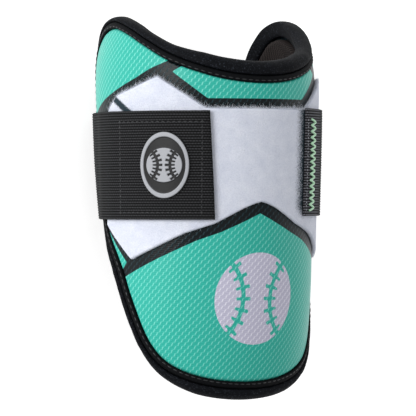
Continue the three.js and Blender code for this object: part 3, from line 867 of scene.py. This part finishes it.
# The sewn end lies twice folded under its seam, so its cords stand up there; the light they catch is a
# painted highlight, paler crests over its last stretch
strap_end_highlight = np.clip((SEWN_LENGTH - (strap_run[-1] - strap_run)) / SEWN_FADE, 0, 1)
make_piece(
    "elastic_strap", *slab(strap_outer, strap_inner), "ribbed_elastic", ribbed_elastic(), "strap",
    uv=np.stack([strap_flat, strap_flat]), values={"sewn_end_highlight": np.stack([strap_end_highlight, strap_end_highlight])})

# %% [markdown]
# ## Thread
# Stitches are short beads of thread. All of one seam are one mesh: a small template is copied to
# every place along the seam at once, by array arithmetic. The zigzag is a tube carried along a
# folded line.

# %% Thread helpers


def thread_material(name, base, light):
    """Twisted polyester thread: a tight diagonal twist, with a painted highlight along it."""
    material, tree, shader = new_material(name, 0.42)
    place = add(tree, "TexCoord", out="Object")
    twist = add(tree, "TexWave", {"Vector": place, "Scale": 900.0, "Distortion": 1.0}, out="Fac")
    # The light colour is a painted highlight along the twist
    return coat(material, shader, add(tree, "Mix", twist, base, light), twist, 0.06)


def capsule(segments, rings):
    """Points and faces of a unit ball: rings of a sine-wide, cosine-long section, with two poles."""
    polar = np.linspace(0, math.pi, rings + 2)[1:-1, None]
    around = np.arange(segments) / segments * 2 * math.pi
    section = [np.cos(polar), np.sin(polar) * np.cos(around), np.sin(polar) * np.sin(around)]
    return closed_rings(np.stack(np.broadcast_arrays(*section), -1), np.array([[1, 0, 0], [-1, 0, 0]]))


PRESSED_FLAT = 0.38


def stitches(name, centres, along, out, slot, material, length, width, sink):
    """One bead for each place: the template stretched along the seam, pressed flat, and shared by
    the axes along, across and out."""
    template, faces = capsule(8, 5)
    across = np.cross(out, along)
    axes = np.stack([along * length / 2, across * width / 2, out * width * PRESSED_FLAT], 1) * MM
    points = (centres - out * sink * MM)[:, None, :] + np.einsum("pk,nkc->npc", template, axes)
    make_piece(name, points, numbered_on(faces, len(centres), len(template)), slot, material)


# %% Stitches round the binding
black_thread = thread_material("black_polyester_thread", "#07080A", "#1A1C21")
STITCH_PITCH, SEAM_INSET = 3.9, 1.3
seam_x, seam_y, step_x, step_y, _, seam_rise, _ = edge_places(int(edge_length / STITCH_PITCH))
seam_at, seam_out = arm_spot(
    (seam_x + step_x * SEAM_INSET) / SHEET_SCALE, seam_y + step_y * SEAM_INSET,
    tape_height(seam_rise))
seam_along = unit(np.roll(seam_at, -1, axis=0) - np.roll(seam_at, 1, axis=0))
stitches("binding_stitches", seam_at, seam_along, seam_out, "edge_tape", black_thread,
         length=2.7, width=0.75, sink=0.05)


# %% The stitched box on the strap's free end
def strap_spot(turn, height, above):
    """A point above the strap's outer face and the way out of it, in metres and as a unit vector."""
    return arm_spot(turn, height, strap_lift(turn) + STRAP_THICKNESS + above)


UPWARD = np.array([0.0, 1.0, 0.0])
BOX_TURNS, BOX_HEIGHTS, BOX_PITCH = (-74.6, -31.7), (107.4, 158.2), 2.7
in_row = int((BOX_TURNS[1] - BOX_TURNS[0]) * SHEET_SCALE / BOX_PITCH)
in_column = int((BOX_HEIGHTS[1] - BOX_HEIGHTS[0]) / BOX_PITCH)
box_turn = np.concatenate([np.tile(np.linspace(*BOX_TURNS, in_row), 2), np.repeat(BOX_TURNS, in_column)])
box_height = np.concatenate([
    np.repeat(BOX_HEIGHTS, in_row), np.tile(np.linspace(*BOX_HEIGHTS, in_column), 2)])
box_at, box_out = strap_spot(box_turn, box_height, -0.15)
row_along = unit(strap_spot(box_turn + 0.5, box_height, 0)[0] - strap_spot(box_turn - 0.5, box_height, 0)[0])
is_column = np.arange(len(box_turn))[:, None] >= 2 * in_row
box_along = square_to(np.where(is_column, UPWARD, row_along), box_out)
stitches("strap_stitches", box_at, box_along, box_out, "ribbed_elastic", black_thread,
         length=2.1, width=0.8, sink=0.1)

# %% The zigzag on the sewn end
green_thread = thread_material("green_polyester_thread", "#7CC792", "#E0F8E2")
ZIG_COUNT, ZIG_TURNS, ZIG_HEIGHTS = 15, (32.4, 37.4), (108.6, 160.4)
ZIG_RADIUS, ZIG_LIFT, ZIG_DIP = 0.65, 0.4, 0.28
POINTS_PER_LEG = 8
legs = 2 * ZIG_COUNT
steps = np.linspace(0, legs, legs * POINTS_PER_LEG + 1)
zig_turn = np.interp(steps, np.arange(legs + 1), np.resize(ZIG_TURNS, legs + 1))
zig_height = ZIG_HEIGHTS[0] + (ZIG_HEIGHTS[1] - ZIG_HEIGHTS[0]) * steps / legs
# The thread dips into the cloth at each turn of the zigzag
dip = ZIG_DIP * (np.abs(steps % 1 - 0.5) * 2) ** 3
zig_at, zig_out = strap_spot(zig_turn, zig_height, ZIG_LIFT - dip)


def tube(centre, out, radius, sides=8):
    """Points and faces of a tube along a line: circles in the plane of the outward direction and
    the one across the line."""
    along = unit(np.gradient(centre, axis=0))
    out = square_to(out, along)
    return closed_rings(centre[:, None] + circles(out, np.cross(along, out), sides) * radius * MM)


make_piece("zigzag_thread", *tube(zig_at, zig_out, ZIG_RADIUS), "ribbed_elastic", green_thread)

# %% The straight seam beside the zigzag
grey_thread = thread_material("grey_polyester_thread", "#6F7178", "#B6B8BF")
STRAIGHT_COUNT, STRAIGHT_INSET = 26, 1.3
straight_height = np.linspace(ZIG_HEIGHTS[0] + 0.5, ZIG_HEIGHTS[1] - 0.5, STRAIGHT_COUNT)
straight_turn = np.full(STRAIGHT_COUNT, STRAP_ROOT + STRAIGHT_INSET)
straight_at, straight_out = strap_spot(straight_turn, straight_height, -0.1)
stitches("sewn_end_stitches", straight_at, square_to(UPWARD, straight_out), straight_out,
         "ribbed_elastic", grey_thread, length=1.1, width=0.5, sink=0.05)

# %% [markdown]
# ## The moulded badge
# A rubber patch is moulded with its design standing up from a flat field. It is a height field over
# an oval: a rim, and a plain ball with two seams. The raised parts are silver-grey.

# %% Badge
BADGE_TURN, BADGE_WIDE, BADGE_TALL = -49.6, 27.0, 38.0
BADGE_FIELD, BADGE_RAISED, BADGE_EDGE = 0.45, 0.6, 0.5
BADGE_RIM_INSET, BADGE_RIM_HALF = 1.3, 0.9
BADGE_BALL, BADGE_LINE = 9.6, 1.5
BADGE_AROUND, BADGE_RINGS = 260, 80


def moulded_rubber():
    """Silver-grey raised rubber on a charcoal field, satin, with a trace of moulding grain."""
    material, tree, shader = new_material("moulded_silicone_rubber", 0.4, 0.25)
    raised = add(tree, "Attribute", out="Fac", attribute_name="raised")
    share = add(tree, "MapRange", raised, -0.12, 0.12)
    return coat(material, shader, add(tree, "Mix", share, "#08090A", "#999BA0"), grain(tree, 0.4, 2.0), 0.02)


badge_angle = np.arange(BADGE_AROUND) / BADGE_AROUND * 2 * math.pi
badge_share = np.linspace(0.01, 1, BADGE_RINGS)[:, None]
badge_x = badge_share * BADGE_WIDE / 2 * np.cos(badge_angle)
badge_y = badge_share * BADGE_TALL / 2 * np.sin(badge_angle)
to_edge = (1 - badge_share) * BADGE_WIDE / 2
rim_side = BADGE_RIM_HALF - np.abs(to_edge - BADGE_RIM_INSET)
raised = np.maximum(rim_side, ball_distance(badge_x, badge_y, BADGE_BALL, BADGE_LINE))
badge_above = SEAM_GAP + BADGE_FIELD + BADGE_RAISED * s_curve(raised, -0.25, 0.25)
badge_above = badge_above - rounded(to_edge, BADGE_EDGE)
badge_turn = BADGE_TURN + badge_x / SHEET_SCALE
badge_height = STRAP_HEIGHT + badge_y
badge_top = strap_spot(badge_turn, badge_height, badge_above)[0]
# Its last two rings lie on the strap: the outline, and the smallest ring as the middle of the back
badge_foot = strap_spot(badge_turn[[-1, 0]], badge_height[[-1, 0]], 0.0)[0]
badge_points, badge_faces = closed_rings(np.concatenate([badge_top, badge_foot]))
on_foot = np.ones(2 * BADGE_AROUND + 2)
make_piece("ball_badge", badge_points, badge_faces, "moulded_badge", moulded_rubber(), "strap_badge",
           values={"raised": np.concatenate([raised.ravel(), on_foot])})

# %% [markdown]
# ## Loose fibres
# The cut border of the loop panel sheds fine white fibres over the dark bands. Each fibre is a thin
# bent spike, and all of them are one mesh.

# %% Fibres


def loose_fibre():
    """Loose nylon fibre, the panel's own white."""
    material, tree, shader = new_material("loose_nylon_fibre", 0.7)
    return coat(material, shader, add(tree, "Mix", grain(tree, 3.0), "#C3CADC", "#F4F6FC"))


nylon = loose_fibre()
SPIKE_SIDES, SPIKE_BEND = 3, 0.22


def fibres(name, turn, height, lift, heading, length, radius):
    """Three-sided spikes that lean along the sheet in their heading, with one bend: a root ring, a
    middle ring pushed up, and a tip pulled over."""
    root, out = arm_spot(turn, height, lift)
    ahead = on_arm(turn + np.cos(heading) / SHEET_SCALE, height + np.sin(heading), lift)
    lean = unit(ahead - root)
    ring = circles(out, unit(np.cross(out, lean)), SPIKE_SIDES) * radius * MM
    reach = length[:, None] * MM
    middle = root + lean * reach * 0.5 + out * reach * SPIKE_BEND
    tip = root + lean * reach
    points = np.concatenate([root[:, None] + ring, middle[:, None] + ring * 0.8, tip[:, None]], axis=1)
    k = np.arange(SPIKE_SIDES)
    after = (k + 1) % SPIKE_SIDES
    quads = np.stack([k, after, SPIKE_SIDES + after, SPIKE_SIDES + k], -1)
    tips = np.stack([SPIKE_SIDES + k, SPIKE_SIDES + after, np.full(SPIKE_SIDES, 2 * SPIKE_SIDES)], -1)
    faces = numbered_on([quads, np.concatenate([tips, [[2, 1, 0]]])], len(points), points.shape[1])
    make_piece(name, points, faces, "brushed_loop", nylon)


fibre_random = np.random.default_rng(11)
FIBRE_COUNT = 9000
fibre_turn = fibre_random.uniform(2 - PANEL_END, PANEL_END - 2, FIBRE_COUNT)
at_top = fibre_random.random(FIBRE_COUNT) < 0.9
fibre_height = np.where(at_top, panel_edge(fibre_turn, 1) - 0.6, panel_edge(fibre_turn, 2) + 0.6)
heading = np.where(at_top, 1.0, -1.0) * math.pi / 2 + fibre_random.normal(0, 0.9, FIBRE_COUNT)
fibre_length = np.where(at_top, 1.0, 0.6) * (fibre_random.gamma(2.0, 0.5, FIBRE_COUNT) + 0.5)
# A few fibres at the top edge are pulled out longer
pulled = at_top & (fibre_random.random(FIBRE_COUNT) < 0.02)
fibre_length = np.where(pulled, fibre_length + 2.5, fibre_length)
fibre_lift = fibre_random.uniform(0.5, 2.0, FIBRE_COUNT)
fibres("loop_fibres", fibre_turn, fibre_height, fibre_lift, heading, fibre_length, 0.045)

# %% Fibres combed over the strip beside the sewn end
COMBED_COUNT = 420
combed_turn = fibre_random.uniform(22.5, 28.0, COMBED_COUNT)
combed_height = fibre_random.uniform(109.0, 164.0, COMBED_COUNT)
combed_heading = math.pi - fibre_random.normal(0.2, 0.7, COMBED_COUNT)
combed_length = fibre_random.gamma(2.0, 0.6, COMBED_COUNT) + 0.8
face_lift = SEAM_GAP + PANEL_THICKNESS
fibres("combed_fibres", combed_turn, combed_height, face_lift, combed_heading, combed_length, 0.035)

# %% [markdown]
# ## The hook tape
# The real one is a strip of moulded nylon hooks. It hides under the strap's free end, so the CAD
# piece stays as it is, and only gets a moulded black finish.

# %% Hook tape
hook_material, hook_tree, hook_shader = new_material("moulded_hook_tape", 0.6)
hooks = grain(hook_tree, 0.8, 1.0)
coat(hook_material, hook_shader, add(hook_tree, "Mix", hooks, "#08090A", "#24262A"), hooks, 0.3)
for material_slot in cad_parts["hook_patch"].material_slots:
    material_slot.material = hook_material
print("hook tape dressed")

# %% [markdown]
# ## Studio
# The camera looks at the guard square to the arm, from the front and a little to its left, as in the
# photograph. With the guard on its back that is 60 degrees above the floor. A broad light from the
# left makes that flank the brightest, one overhead rounds the top, and a weak one fills the right.

# %% Camera
VIEW_TURN = math.radians(30)
CAMERA_FAR, CAMERA_SIDE = 2.1, 0.002
FRAME_PIXELS, MM_PER_PIXEL, SENSOR = 416, 0.576, 36.0
scene = bpy.context.scene
view_right = Vector((math.cos(VIEW_TURN), 0, math.sin(VIEW_TURN)))
view_up = Vector((0, 1, 0))
view_back = Vector((-math.sin(VIEW_TURN), 0, math.cos(VIEW_TURN)))
target = Vector((AXIS_X, TIP_Y + GUARD_LENGTH / 2 * MM, AXIS_Z)) + view_right * CAMERA_SIDE
camera_data = bpy.data.cameras.new("camera")
camera_data.sensor_width = SENSOR
camera_data.lens = SENSOR * CAMERA_FAR / MM / MM_PER_PIXEL / FRAME_PIXELS
camera_data.clip_end = 50
camera = bpy.data.objects.new("camera", camera_data)
camera.matrix_world = Matrix.Translation(target + view_back * CAMERA_FAR) @ Matrix(
    (view_right, view_up, view_back)).transposed().to_4x4()
scene.collection.objects.link(camera)
scene.camera = camera
print("camera lens", round(camera_data.lens, 1))

# %% Floor
FLOOR_HALF, FLOOR_HEIGHT, FLOOR_GLOW = 6.0, -0.0003, 0.52
floor_mesh = bpy.data.meshes.new("floor")
corners = [(x * FLOOR_HALF, y * FLOOR_HALF, FLOOR_HEIGHT) for x, y in ((-1, -1), (1, -1), (1, 1), (-1, 1))]
floor_mesh.from_pydata(corners, [], [(0, 1, 2, 3)])
floor = bpy.data.objects.new("floor", floor_mesh)
scene.collection.objects.link(floor)
floor_material, floor_tree, floor_shader = new_material("matt_white_paper", 0.95)
coat(floor_material, floor_shader, add(floor_tree, "Mix", grain(floor_tree, 30.0), "#F4F4F4", "#F8F8F8"))
floor_shader.inputs["Emission Color"].default_value = (1, 1, 1, 1)
floor_shader.inputs["Emission Strength"].default_value = FLOOR_GLOW
floor_mesh.materials.append(floor_material)


# %% Light
def soft_light(name, place, size, power):
    """A square area light that faces the guard."""
    data = bpy.data.lights.new(name, "AREA")
    data.size = size
    data.energy = power
    light = bpy.data.objects.new(name, data)
    light.location = place
    aim = Vector((0, 0, 0.05)) - Vector(place)
    light.rotation_euler = aim.to_track_quat("-Z", "Y").to_euler()
    scene.collection.objects.link(light)


soft_light("left_window", (-2.3, 0.7, 0.9), 1.3, 48)
soft_light("overhead", (-0.3, 0.6, 2.6), 2.2, 9)
soft_light("right_fill", (2.4, 0.2, 1.0), 1.6, 8)
world = bpy.data.worlds.new("studio")
world.use_nodes = True
backdrop = world.node_tree.nodes["Background"]
backdrop.inputs["Color"].default_value = (1, 1, 1, 1)
backdrop.inputs["Strength"].default_value = 0.5
scene.world = world
scene.view_settings.view_transform = "Standard"
print("lights:", sorted(light.name for light in bpy.data.lights))
